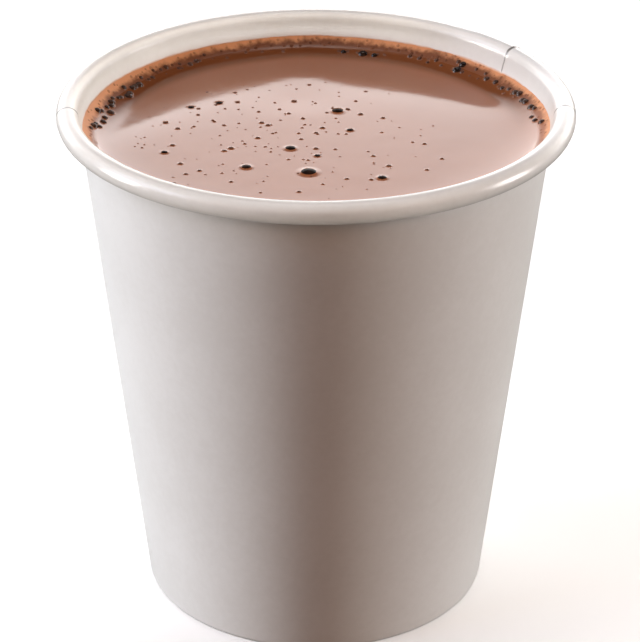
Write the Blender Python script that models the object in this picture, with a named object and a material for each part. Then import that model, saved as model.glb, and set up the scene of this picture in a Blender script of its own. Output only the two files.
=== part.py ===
"""Hot chocolate in a plain single-wall paper cup with a rolled rim.

The cup is two pieces of coated paper: a tapered side wall, rolled outwards at the rim and folded
inwards at the foot, and a raised bottom disc whose skirt the fold holds. The drink fills it to just
under the rim. The origin is at the middle of the foot, on the surface that the cup stands on.
"""

import math
import random

import bmesh
import bpy

# Driving dimensions, in millimetres
RIM_DIAMETER = 80.0
CUP_HEIGHT = 83.0
FOOT_DIAMETER = 55.0
NECK_DIAMETER = 73.0
NECK_HEIGHT = 79.6
ROLL_DIAMETER = 3.4
PAPER = 0.4
GAP = 0.3

# Foot: the wall is folded in and up round the skirt of the bottom disc
FOLD_HEIGHT = 5.6
DISC_HEIGHT = 7.0
DISC_CORNER = 1.0
SKIRT_FOOT = 1.0

# Rolled rim: the roll stops short of the wall below it
ROLL_END_DEGREES = -135.0
ROLL_STEPS = 12

# Side seam, where the two ends of the wall lie one on the other
SEAM_INSIDE_DEGREES = 34.0
SEAM_WIDTH_DEGREES = 10.5
SEAM_FADE_DEGREES = 10.0
SEAM_STEP_DEGREES = 0.4
SEAM_RISE = 0.15

# Drink: nearly level, climbing where it wets the wall
DRINK_LEVEL = 76.95
WETTING_RISE = 2.4
WETTING_WIDTH = 2.4
# It lies a little lower beyond a curved ridge near the back
SWELL = 0.23
SWELL_WIDTH = 6.0
RIDGE = 18.5
RIDGE_BEND = 0.012

# Bubbles: where the large ones lie (x, y) and how wide they are
LARGE_BUBBLES = [
    (-1.1, -14.9, 2.2),
    (3.4, 8.8, 1.7),
    (-3.9, -6.0, 1.5),
    (-10.5, -13.1, 1.4),
    (9.9, -16.9, 1.3),
    (-15.4, 12.2, 1.1),
    (-19.8, 10.5, 1.0),
    (-23.1, -7.8, 1.0),
    (5.3, 1.1, 1.0),
    (0.2, -8.8, 0.9),
]
SMALL_BUBBLES = 14
SMALL_SPREAD = 22.0
SMALL_DIAMETER = (0.6, 0.85)
# Bubbles along the wall: first and last bearing in degrees, and how many
WALL_BUBBLES = [(158.0, 196.0, 9), (55.0, 82.0, 4), (0.0, 46.0, 6)]
WALL_DIAMETER = (0.9, 1.5)
BUBBLE_SINK = 0.4
BUBBLE_SIDES = 8
BUBBLE_RINGS = 6
SEED = 5

COLUMNS = 72
MM = 0.001

HALF = PAPER / 2
FOOT_RADIUS = FOOT_DIAMETER / 2 - HALF
NECK_RADIUS = NECK_DIAMETER / 2 - HALF
TAPER = (NECK_RADIUS - FOOT_RADIUS) / NECK_HEIGHT
LAYER = PAPER + GAP
ROLL_RADIUS = ROLL_DIAMETER / 2 - HALF
ROLL_CENTRE = (RIM_DIAMETER / 2 - ROLL_DIAMETER / 2, CUP_HEIGHT - ROLL_DIAMETER / 2)


def clear_scene():
    for item in list(bpy.data.objects):
        bpy.data.objects.remove(item)


def make_material(name, colour, roughness):
    material = bpy.data.materials.new(name)
    material.use_nodes = True
    shader = material.node_tree.nodes["Principled BSDF"]
    shader.inputs["Base Color"].default_value = (*colour, 1.0)
    shader.inputs["Roughness"].default_value = roughness
    shader.inputs["Metallic"].default_value = 0.0
    return material


def wall_radius(height):
    """Radius of the middle of the wall's paper at a height."""
    return FOOT_RADIUS + TAPER * height


def ease(amount):
    amount = min(max(amount, 0.0), 1.0)
    return amount * amount * (3.0 - 2.0 * amount)


def arc(centre, radius, first, last, steps):
    """Points on an arc from the first to the last angle, both in degrees."""
    points = []
    for step in range(steps + 1):
        angle = math.radians(first + (last - first) * step / steps)
        points.append((centre[0] + radius * math.cos(angle), centre[1] + radius * math.sin(angle)))
    return points


def wall_line():
    """Middle of the wall's paper, from the fold's inner edge, down, up the wall and round the roll."""
    fold_centre_height = HALF + LAYER * math.sin(math.radians(60))
    fold_centre = (wall_radius(fold_centre_height) - LAYER, fold_centre_height)
    line = [(wall_radius(FOLD_HEIGHT) - 2 * LAYER, FOLD_HEIGHT)]
    line += arc(fold_centre, LAYER, 180, 360, 3)
    for height in (10.0, 33.0, 56.0, NECK_HEIGHT):
        line.append((wall_radius(height), height))
    lean = math.degrees(math.atan(TAPER))
    line += arc(ROLL_CENTRE, ROLL_RADIUS, 180 - lean, ROLL_END_DEGREES, ROLL_STEPS)
    return line


def disc_line():
    """Middle of the bottom disc's paper, from the centre out and down its skirt."""
    corner_height = DISC_HEIGHT - DISC_CORNER
    corner = (wall_radius(corner_height) - LAYER - DISC_CORNER, corner_height)
    line = [(0.0, DISC_HEIGHT), (corner[0] * 0.5, DISC_HEIGHT)]
    line += arc(corner, DISC_CORNER, 90, 0, 2)
    line.append((wall_radius(SKIRT_FOOT) - LAYER, SKIRT_FOOT))
    return line


def side_normals(line):
    """Mitred normals to the right of a line, so that paper keeps its thickness at the bends."""
    sides = []
    for first, second in zip(line, line[1:]):
        run = (second[0] - first[0], second[1] - first[1])
        length = math.hypot(*run)
        sides.append((run[1] / length, -run[0] / length))
    normals = [sides[0]]
    for before, after in zip(sides, sides[1:]):
        share = 1.0 + before[0] * after[0] + before[1] * after[1]
        normals.append(((before[0] + after[0]) / share, (before[1] + after[1]) / share))
    normals.append(sides[-1])
    return normals


def paper_outline(line, right_rise=0.0, left_rise=0.0):
    """Closed outline of paper that follows a line, thicker by a rise on each side above the fold."""
    right = []
    left = []
    for point, normal in zip(line, side_normals(line)):
        above_fold = ease((point[1] - DISC_HEIGHT) / DISC_HEIGHT)
        out = HALF + right_rise * above_fold
        back = HALF + left_rise * above_fold
        right.append((point[0] + normal[0] * out, point[1] + normal[1] * out))
        left.append((point[0] - normal[0] * back, point[1] - normal[1] * back))
    return right + left[::-1]


def seam_rises(degrees):
    """Rise of the wall's outer and inner faces at a bearing, each with one sharp edge."""
    last = SEAM_INSIDE_DEGREES + SEAM_WIDTH_DEGREES
    inner = 0.0
    outer = 0.0
    if degrees > SEAM_INSIDE_DEGREES:
        inner = SEAM_RISE * ease(1.0 - (degrees - last) / SEAM_FADE_DEGREES)
    if degrees < last:
        outer = SEAM_RISE * ease(1.0 - (SEAM_INSIDE_DEGREES - degrees) / SEAM_FADE_DEGREES)
    return outer, inner


def even_columns():
    return [360.0 * step / COLUMNS for step in range(COLUMNS)]


def seam_columns():
    """Even columns, with a close pair at each edge of the seam in place of those beside it."""
    edges = []
    for edge in (SEAM_INSIDE_DEGREES, SEAM_INSIDE_DEGREES + SEAM_WIDTH_DEGREES):
        edges += [edge - SEAM_STEP_DEGREES / 2, edge + SEAM_STEP_DEGREES / 2]
    clear = 180.0 / COLUMNS
    kept = [angle for angle in even_columns() if min(abs(angle - edge) for edge in edges) > clear]
    return sorted(kept + edges)


def turned_mesh(name, outline_at, columns, closed):
    """Mesh turned about Z from the outline at each column; an open outline starts and ends on Z."""
    model = bmesh.new()
    rows = []
    poles = {}
    for degrees in columns:
        angle = math.radians(degrees)
        row = []
        for place, (radius, height) in enumerate(outline_at(degrees)):
            spot = (radius * math.cos(angle) * MM, radius * math.sin(angle) * MM, height * MM)
            if radius > 0.0:
                row.append(model.verts.new(spot))
            else:
                if place not in poles:
                    poles[place] = model.verts.new(spot)
                row.append(poles[place])
        rows.append(row)
    span = len(rows[0]) if closed else len(rows[0]) - 1
    for row, following in zip(rows, rows[1:] + rows[:1]):
        for place in range(span):
            beyond = (place + 1) % len(row)
            corners = []
            for vertex in (row[place], row[beyond], following[beyond], following[place]):
                if vertex not in corners:
                    corners.append(vertex)
            model.faces.new(corners)
    bmesh.ops.recalc_face_normals(model, faces=model.faces)
    mesh = bpy.data.meshes.new(name)
    model.to_mesh(mesh)
    model.free()
    return mesh


def add_object(name, mesh, material, sharp_degrees):
    item = bpy.data.objects.new(name, mesh)
    bpy.context.scene.collection.objects.link(item)
    mesh.materials.append(material)
    mesh.shade_smooth()
    mesh.set_sharp_from_angle(angle=math.radians(sharp_degrees))
    return item


def make_cup_wall(material):
    line = wall_line()

    def outline_at(degrees):
        outer, inner = seam_rises(degrees)
        return paper_outline(line, outer, inner)

    mesh = turned_mesh("cup_wall", outline_at, seam_columns(), closed=True)
    return add_object("cup_wall", mesh, material, 50)


def make_cup_base(material):
    line = disc_line()
    upper = []
    lower = []
    for point, normal in zip(line, side_normals(line)):
        lower.append((max(point[0] + normal[0] * HALF, 0.0), point[1] + normal[1] * HALF))
        upper.append((max(point[0] - normal[0] * HALF, 0.0), point[1] - normal[1] * HALF))
    outline = upper + lower[::-1]
    mesh = turned_mesh("cup_base", lambda degrees: outline, even_columns(), closed=False)
    return add_object("cup_base", mesh, material, 50)


def drink_radius(height):
    return wall_radius(height) - HALF - GAP


def surface_height(x, y):
    """Height of the drink's surface: level, a slight swell, and a climb beside the wall."""
    brim = drink_radius(DRINK_LEVEL + WETTING_RISE)
    climb = WETTING_RISE * math.exp((math.hypot(x, y) - brim) / WETTING_WIDTH)
    swell = -SWELL * math.tanh((y - RIDGE + RIDGE_BEND * x * x) / SWELL_WIDTH)
    return DRINK_LEVEL + swell + climb


def drink_outline(degrees):
    """Outline of the drink at a bearing, from the middle of its surface down to its bottom."""
    brim = drink_radius(DRINK_LEVEL + WETTING_RISE)
    bottom = DISC_HEIGHT + HALF + GAP
    angle = math.radians(degrees)
    outline = []
    for share in (0.0, 0.2, 0.4, 0.56, 0.69, 0.79, 0.86, 0.91, 0.95, 0.98, 1.0):
        radius = brim * share
        outline.append((radius, surface_height(radius * math.cos(angle), radius * math.sin(angle))))
    outline.append((drink_radius(bottom), bottom))
    outline.append((0.0, bottom))
    return outline


def bubble_places():
    """Bubbles as x, y and diameter: the large ones, small ones scattered, and those at the wall."""
    draw = random.Random(SEED)
    bubbles = list(LARGE_BUBBLES)
    while len(bubbles) < len(LARGE_BUBBLES) + SMALL_BUBBLES:
        x = draw.uniform(-1.0, 1.0) * SMALL_SPREAD
        y = draw.uniform(-1.0, 1.0) * SMALL_SPREAD
        diameter = draw.uniform(*SMALL_DIAMETER)
        if all(math.hypot(x - other[0], y - other[1]) > diameter + other[2] for other in bubbles):
            bubbles.append((x, y, diameter))
    for first, last, count in WALL_BUBBLES:
        for step in range(count):
            angle = math.radians(first + (last - first) * (step + draw.uniform(0.1, 0.9)) / count)
            diameter = draw.uniform(*WALL_DIAMETER)
            reach = drink_radius(DRINK_LEVEL) - diameter * draw.uniform(0.6, 1.6)
            bubbles.append((reach * math.cos(angle), reach * math.sin(angle), diameter))
    return bubbles


def make_bubbles():
    """Bubbles as small balls sunk in the surface, in a collection of their own."""
    group = bpy.data.collections.new("bubbles")
    bpy.context.scene.collection.children.link(group)
    for x, y, diameter in bubble_places():
        radius = diameter / 2
        model = bmesh.new()
        bmesh.ops.create_uvsphere(
            model, u_segments=BUBBLE_SIDES, v_segments=BUBBLE_RINGS, radius=radius * MM
        )
        mesh = bpy.data.meshes.new("bubble")
        model.to_mesh(mesh)
        model.free()
        ball = bpy.data.objects.new("bubble", mesh)
        ball.location = (x * MM, y * MM, (surface_height(x, y) - radius * BUBBLE_SINK) * MM)
        group.objects.link(ball)
    return group


def make_drink(material):
    mesh = turned_mesh("hot_chocolate", drink_outline, even_columns(), closed=False)
    drink = add_object("hot_chocolate", mesh, material, 40)
    group = make_bubbles()
    union = drink.modifiers.new("bubbles", "BOOLEAN")
    union.operation = "UNION"
    union.operand_type = "COLLECTION"
    union.collection = group
    union.solver = "EXACT"
    bpy.context.view_layer.update()
    graph = bpy.context.evaluated_depsgraph_get()
    joined = bpy.data.meshes.new_from_object(drink.evaluated_get(graph))
    drink.modifiers.clear()
    drink.data = joined
    for ball in list(group.objects):
        bpy.data.objects.remove(ball)
    bpy.data.collections.remove(group)
    return drink


def main():
    clear_scene()
    wall_paper = make_material("cup_paper", (0.86, 0.85, 0.83), 0.6)
    base_paper = make_material("base_paper", (0.84, 0.83, 0.8), 0.7)
    drink = make_material("drink", (0.3, 0.12, 0.052), 0.2)
    make_cup_wall(wall_paper)
    make_cup_base(base_paper)
    make_drink(drink)


main()
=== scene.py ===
import math
import random

import bmesh
import bpy
from mathutils import Matrix, Vector, noise


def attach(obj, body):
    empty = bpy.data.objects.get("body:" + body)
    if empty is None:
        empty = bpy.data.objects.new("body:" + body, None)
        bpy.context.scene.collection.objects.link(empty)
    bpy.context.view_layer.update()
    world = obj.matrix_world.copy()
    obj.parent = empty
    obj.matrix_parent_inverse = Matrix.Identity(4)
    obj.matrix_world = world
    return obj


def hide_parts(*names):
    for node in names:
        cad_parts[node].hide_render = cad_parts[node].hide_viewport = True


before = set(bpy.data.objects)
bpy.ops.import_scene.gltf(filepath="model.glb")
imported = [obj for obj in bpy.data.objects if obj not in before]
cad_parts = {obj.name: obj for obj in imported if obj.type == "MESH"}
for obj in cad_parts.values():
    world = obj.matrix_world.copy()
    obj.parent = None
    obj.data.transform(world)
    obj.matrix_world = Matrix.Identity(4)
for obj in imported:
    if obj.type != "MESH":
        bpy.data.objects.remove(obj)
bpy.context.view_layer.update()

mm = 0.001


# helpers for node trees

def addSocket(tree, name, kind, value=None, side="INPUT"):
    socket = tree.interface.new_socket(name=name, in_out=side, socket_type=kind)
    if value is not None:
        socket.default_value = value
    return socket


def addInputs(tree, values):
    # one named input for each value, of the kind that fits it
    kinds = {int: "Int", float: "Float", bpy.types.Material: "Material", bpy.types.Object: "Object"}
    for name, value in values.items():
        if isinstance(value, tuple):
            kind = "Color" if len(value) == 4 else "Vector"
        else:
            kind = kinds[type(value)]
        addSocket(tree, name, "NodeSocket" + kind, None if isinstance(value, bpy.types.ID) else value)


def inputsFrom(plan, plain=(), inMm=()):
    # the setting seamRise becomes the input Seam Rise, and lengths go in as metres
    values = {}
    for key in plain + inMm:
        name = "".join(" " + letter if letter.isupper() else letter for letter in key)
        values[name[0].upper() + name[1:]] = plan[key] * mm if key in inMm else plan[key]
    return values


def feed(tree, socket, value):
    if isinstance(value, bpy.types.NodeSocket):
        tree.links.new(value, socket)
    else:
        socket.default_value = value


def addNode(tree, kind, inputs=None, **settings):
    node = tree.nodes.new(kind)
    for key, value in settings.items():
        setattr(node, key, value)
    for key, value in (inputs or {}).items():
        feed(tree, node.inputs[key], value)
    return node


def calc(tree, operation, first, second=0.0, third=0.0, clamp=False):
    node = addNode(tree, "ShaderNodeMath", {0: first, 1: second, 2: third}, operation=operation)
    node.use_clamp = clamp
    return node.outputs[0]


def vectorCalc(tree, operation, first, second=(0.0, 0.0, 0.0)):
    node = addNode(tree, "ShaderNodeVectorMath", {0: first, 1: second}, operation=operation)
    return node.outputs["Value" if operation in ("LENGTH", "DOT_PRODUCT", "DISTANCE") else "Vector"]


def remap(tree, value, fromMin, fromMax, toMin, toMax, smooth=True):
    node = addNode(tree, "ShaderNodeMapRange", interpolation_type="SMOOTHSTEP" if smooth else "LINEAR")
    for key, item in enumerate((value, fromMin, fromMax, toMin, toMax)):
        feed(tree, node.inputs[key], item)
    return node.outputs["Result"]


def mixColour(tree, factor, first, second, blend="MIX"):
    node = addNode(tree, "ShaderNodeMix", data_type="RGBA", blend_type=blend)
    for key, item in (("Factor_Float", factor), ("A_Color", first), ("B_Color", second)):
        feed(tree, next(entry for entry in node.inputs if entry.identifier == key), item)
    return next(entry for entry in node.outputs if entry.identifier == "Result_Color")


def splitAxes(tree, vector):
    return addNode(tree, "ShaderNodeSeparateXYZ", {0: vector}).outputs


def joinAxes(tree, x, y, z=0.0):
    return addNode(tree, "ShaderNodeCombineXYZ", {0: x, 1: y, 2: z}).outputs[0]


def noiseAt(tree, vector, scale, detail, roughness=0.5):
    return addNode(tree, "ShaderNodeTexNoise", {
        "Vector": vector, "Scale": scale, "Detail": detail, "Roughness": roughness}).outputs["Fac"]


def fromNoise(tree, value, first, last):
    # noise keeps mostly between these two values
    return remap(tree, value, 0.3, 0.7, first, last)


def placeGroup(tree, group, values):
    return addNode(tree, "ShaderNodeGroup", values, node_tree=group).outputs


def position(tree):
    return addNode(tree, "GeometryNodeInputPosition").outputs[0]


def readField(tree, name, kind="FLOAT"):
    node = addNode(tree, "GeometryNodeInputNamedAttribute", {"Name": name}, data_type=kind)
    return node.outputs["Attribute"]


def storeField(tree, geometry, name, value, kind="FLOAT"):
    node = addNode(tree, "GeometryNodeStoreNamedAttribute", {
        "Geometry": geometry, "Name": name, "Value": value}, data_type=kind, domain="POINT")
    return node.outputs["Geometry"]


def finishTree(tree, geometry, material):
    plain = addNode(tree, "GeometryNodeRealizeInstances", {"Geometry": geometry}).outputs["Geometry"]
    painted = addNode(tree, "GeometryNodeSetMaterial", {"Geometry": plain, "Material": material})
    addNode(tree, "NodeGroupOutput", {"Geometry": painted.outputs["Geometry"]})


def runTree(piece, tree, values):
    # sets the modifier's inputs by identifier, then keeps the result as a plain mesh
    modifier = piece.modifiers.new(tree.name, "NODES")
    modifier.node_group = tree
    for item in tree.interface.items_tree:
        if item.item_type == "SOCKET" and item.in_out == "INPUT" and item.name in values:
            modifier[item.identifier] = values[item.name]
    graph = bpy.context.evaluated_depsgraph_get()
    mesh = bpy.data.meshes.new_from_object(piece.evaluated_get(graph))
    piece.modifiers.remove(modifier)
    piece.data = mesh
    return mesh


def newPiece(name, mesh):
    piece = bpy.data.objects.new(name, mesh)
    bpy.context.scene.collection.objects.link(piece)
    return piece


def ease(amount):
    amount = min(max(amount, 0.0), 1.0)
    return amount * amount * (3.0 - 2.0 * amount)


# camera, at the photograph's viewing angle; place in metres, angles in degrees

cameraPlan = dict(
    place=(0.0, -0.3929, 0.2461),
    lens=154.4,
    sensor=36.0,
    near=0.01,
    far=20.0,
    down=27.174,
    turn=0.103,
    tilt=0.176,
)


def makeCamera():
    data = bpy.data.cameras.new("camera")
    data.lens = cameraPlan["lens"]
    data.sensor_width = cameraPlan["sensor"]
    data.clip_start = cameraPlan["near"]
    data.clip_end = cameraPlan["far"]
    camera = newPiece("camera", data)
    down = math.radians(cameraPlan["down"])
    turn = math.radians(cameraPlan["turn"])
    tilt = math.radians(cameraPlan["tilt"])
    forward = Vector((math.sin(turn) * math.cos(down), math.cos(turn) * math.cos(down), -math.sin(down)))
    level = forward.cross(Vector((0.0, 0.0, 1.0))).normalized()
    upright = level.cross(forward)
    right = level * math.cos(tilt) + upright * math.sin(tilt)
    above = right.cross(forward)
    camera.matrix_world = Matrix((
        (right.x, above.x, -forward.x, cameraPlan["place"][0]),
        (right.y, above.y, -forward.y, cameraPlan["place"][1]),
        (right.z, above.z, -forward.z, cameraPlan["place"][2]),
        (0.0, 0.0, 0.0, 1.0),
    ))
    bpy.context.scene.camera = camera


# studio: soft windows of light round the cup; bearing 0 is towards the camera, and positive bearings
# are to its right, heights are above the horizon, all in degrees

studioPlan = dict(
    shown=1.0,
    windows=[
        dict(name="backdrop", bearing=180.0, height=17.0, wide=100.0, tall=21.0, soft=12.0,
             colour=(1.0, 0.98, 0.975), strength=3.95),
        dict(name="backStrip", bearing=180.0, height=3.0, wide=120.0, tall=14.0, soft=6.0,
             colour=(0.98, 1.0, 0.96), strength=2.9),
        dict(name="leftBox", bearing=-90.5, height=6.0, wide=18.0, tall=26.0, soft=9.0,
             colour=(1.0, 0.985, 0.965), strength=18.5),
        dict(name="rightBox", bearing=90.5, height=6.0, wide=16.0, tall=26.0, soft=9.0,
             colour=(1.0, 0.955, 0.935), strength=18.5),
        dict(name="overhead", bearing=180.0, height=76.0, wide=150.0, tall=14.0, soft=6.0,
             colour=(1.0, 0.98, 0.95), strength=4.0),
        dict(name="leftUpper", bearing=-85.0, height=32.0, wide=50.0, tall=26.0, soft=8.0,
             colour=(0.72, 0.81, 1.0), strength=4.2),
        dict(name="frontFill", bearing=0.0, height=30.0, wide=120.0, tall=30.0, soft=8.0,
             colour=(1.0, 0.58, 0.38), strength=0.84),
    ],
)


def makeWindowGroup():
    group = bpy.data.node_groups.new("lightWindow", "ShaderNodeTree")
    addInputs(group, {"Direction": (0.0, 0.0, 1.0), "Bearing": 0.0, "Height": 0.0, "Half Width": 20.0,
                      "Half Height": 20.0, "Softness": 8.0})
    addSocket(group, "Amount", "NodeSocketFloat", side="OUTPUT")
    given = addNode(group, "NodeGroupInput").outputs
    part = splitAxes(group, given["Direction"])
    turn = calc(group, "ARCTAN2", part["X"], calc(group, "MULTIPLY", part["Y"], -1.0))
    bearing = calc(group, "SUBTRACT", calc(group, "DEGREES", turn), given["Bearing"])
    across = calc(group, "ABSOLUTE", calc(group, "WRAP", bearing, 180.0, -180.0))
    rise = calc(group, "DEGREES", calc(group, "ARCSINE", part["Z"]))
    upward = calc(group, "ABSOLUTE", calc(group, "SUBTRACT", rise, given["Height"]))
    amounts = []
    for distance, half in ((across, given["Half Width"]), (upward, given["Half Height"])):
        past = calc(group, "SUBTRACT", distance, half)
        amounts.append(remap(group, past, calc(group, "MULTIPLY", given["Softness"], -0.5),
                             calc(group, "MULTIPLY", given["Softness"], 0.5), 1.0, 0.0))
    addNode(group, "NodeGroupOutput", {"Amount": calc(group, "MULTIPLY", *amounts)})
    return group


def makeWorld():
    world = bpy.data.worlds.new("studio")
    world.use_nodes = True
    bpy.context.scene.world = world
    tree = world.node_tree
    tree.nodes.clear()
    direction = addNode(tree, "ShaderNodeTexCoord").outputs["Generated"]
    group = makeWindowGroup()
    glows = []
    for plan in studioPlan["windows"]:
        window = placeGroup(tree, group, {
            "Direction": direction, "Bearing": plan["bearing"], "Height": plan["height"],
            "Half Width": plan["wide"] / 2, "Half Height": plan["tall"] / 2, "Softness": plan["soft"]})
        strength = calc(tree, "MULTIPLY", window["Amount"], plan["strength"])
        glow = addNode(tree, "ShaderNodeBackground", {"Color": (*plan["colour"], 1.0), "Strength": strength})
        glow.name = plan["name"]
        glows.append(glow.outputs[0])
    light = glows[0]
    for glow in glows[1:]:
        light = addNode(tree, "ShaderNodeAddShader", {0: light, 1: glow}).outputs[0]
    # the camera sees plain white where it looks past the floor
    shown = addNode(tree, "ShaderNodeBackground", {
        "Color": (1.0, 1.0, 1.0, 1.0), "Strength": studioPlan["shown"]})
    seen = addNode(tree, "ShaderNodeLightPath").outputs["Is Camera Ray"]
    both = addNode(tree, "ShaderNodeMixShader", {0: seen, 1: light, 2: shown.outputs[0]})
    addNode(tree, "ShaderNodeOutputWorld", {"Surface": both.outputs[0]})


floorPlan = dict(
    side=3.0,
    colour=(0.93, 0.93, 0.925, 1.0),
    roughness=0.9,
    gloss=0.1,
    lift=0.3,
)


def makeFloor():
    half = floorPlan["side"] / 2
    mesh = bpy.data.meshes.new("floor")
    corners = [(-half, -half, 0.0), (half, -half, 0.0), (half, half, 0.0), (-half, half, 0.0)]
    mesh.from_pydata(corners, [], [(0, 1, 2, 3)])
    floor = newPiece("floor", mesh)
    material = bpy.data.materials.new("paleFloor")
    material.use_nodes = True
    shader = material.node_tree.nodes["Principled BSDF"]
    shader.inputs["Base Color"].default_value = floorPlan["colour"]
    shader.inputs["Roughness"].default_value = floorPlan["roughness"]
    shader.inputs["Specular IOR Level"].default_value = floorPlan["gloss"]
    shader.inputs["Emission Color"].default_value = (1.0, 1.0, 1.0, 1.0)
    shader.inputs["Emission Strength"].default_value = floorPlan["lift"]
    mesh.materials.append(material)
    floor.visible_diffuse = False
    floor.visible_glossy = False
    floor.visible_shadow = False


# cup: one strip of paper, folded in at the foot and rolled out at the rim

paperPlan = dict(
    thickness=0.4,
    gap=0.3,
    rimDiameter=80.0,
    height=83.0,
    footDiameter=55.0,
    neckDiameter=73.0,
    neckHeight=79.6,
    rollDiameter=3.4,
    rollEnd=-135.0,
    rollSteps=40,
    foldHeight=5.6,
    foldLow=1.4,
    foldStart=60.0,
    foldSteps=12,
    foldLegSteps=4,
    wallLow=3.0,
    wallSteps=14,
    columns=540,
    seamBearing=34.0,
    seamWidth=10.5,
    seamFade=10.0,
    seamRise=0.145,
    seamLow=7.0,
    seamHigh=14.0,
    crimps=90.0,
    crimpDepth=0.12,
    crimpLow=1.2,
    crimpHigh=2.5,
    crimpInset=0.6,
    wave=0.08,
    waveScale=1.3,
    waveStretch=14.0,
    waveMiddle=0.72,
    waveLow=10.0,
    waveHigh=80.0,
    weldGap=0.002,
    sharpAngle=50.0,
    seed=3.0,
)

halfPaper = paperPlan["thickness"] / 2
layer = paperPlan["thickness"] + paperPlan["gap"]
footRadius = paperPlan["footDiameter"] / 2 - halfPaper
neckRadius = paperPlan["neckDiameter"] / 2 - halfPaper
taper = (neckRadius - footRadius) / paperPlan["neckHeight"]
rollRadius = paperPlan["rollDiameter"] / 2 - halfPaper
rollCentre = (
    paperPlan["rimDiameter"] / 2 - paperPlan["rollDiameter"] / 2,
    paperPlan["height"] - paperPlan["rollDiameter"] / 2,
)


def wallRadius(height):
    return footRadius + taper * height  # middle of the paper, in mm


def arc(centre, radius, first, last, steps):
    points = []
    for step in range(steps + 1):
        angle = math.radians(first + (last - first) * step / steps)
        points.append((centre[0] + radius * math.cos(angle), centre[1] + radius * math.sin(angle)))
    return points


def paperLine():
    # from the fold's inner edge down, up the wall and round the roll
    lift = layer * math.sin(math.radians(paperPlan["foldStart"]))
    foldCentreHeight = halfPaper + lift
    foldCentre = (wallRadius(foldCentreHeight) - layer, foldCentreHeight)
    line = []
    for step in range(paperPlan["foldLegSteps"] + 1):
        share = step / paperPlan["foldLegSteps"]
        height = paperPlan["foldHeight"] - (paperPlan["foldHeight"] - paperPlan["foldLow"]) * share
        line.append((wallRadius(height) - 2 * layer, height))
    underneath = arc(foldCentre, layer, 180, 360, paperPlan["foldSteps"])
    flat = foldCentreHeight - lift
    line += [(radius, max(height, flat)) for radius, height in underneath]
    low = paperPlan["wallLow"]
    for step in range(paperPlan["wallSteps"] + 1):
        height = low + (paperPlan["neckHeight"] - low) * step / paperPlan["wallSteps"]
        line.append((wallRadius(height), height))
    lean = math.degrees(math.atan(taper))
    line += arc(rollCentre, rollRadius, 180 - lean, paperPlan["rollEnd"], paperPlan["rollSteps"])
    return line


def sideNormals(line):
    sides = []
    for first, second in zip(line, line[1:]):
        run = Vector(second) - Vector(first)
        sides.append(Vector((run.y, -run.x)).normalized())
    normals = [sides[0]]
    for before, after in zip(sides, sides[1:]):
        normals.append((before + after) / (1.0 + before.dot(after)))
    normals.append(sides[-1])
    return normals


def makeOutline():
    # closed outline as loose points, with its normals and which face of the paper each is on
    line = paperLine()
    normals = sideNormals(line)
    spots = []
    outward = []
    coated = []
    for point, normal in zip(line, normals):
        spots.append(Vector(point) + normal * halfPaper)
        outward.append(normal)
        coated.append(0.0)
    for point, normal in zip(line[::-1], normals[::-1]):
        spots.append(Vector(point) - normal * halfPaper)
        outward.append(-normal)
        coated.append(1.0)
    mesh = bpy.data.meshes.new("paperOutline")
    mesh.from_pydata([(spot.x * mm, 0.0, spot.y * mm) for spot in spots], [], [])
    store = mesh.attributes.new("outward", "FLOAT_VECTOR", "POINT")
    store.data.foreach_set("vector", [part for side in outward for part in (side.x, 0.0, side.y)])
    face = mesh.attributes.new("coated", "FLOAT", "POINT")
    face.data.foreach_set("value", coated)
    return mesh, len(spots)


def turnValues(count, material):
    values = inputsFrom(
        paperPlan,
        ("columns", "seamBearing", "seamWidth", "seamFade", "crimps", "waveScale", "waveStretch",
         "waveMiddle", "seed"),
        ("seamRise", "seamLow", "seamHigh", "crimpDepth", "crimpLow", "crimpHigh", "wave", "waveLow",
         "waveHigh", "weldGap"))
    values["Outline Points"] = count
    values["Crimp Radius"] = (footRadius - paperPlan["crimpInset"]) * mm
    values["Fold Height"] = (paperPlan["foldHeight"] + halfPaper / 2) * mm
    values["Material"] = material
    return values


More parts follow.
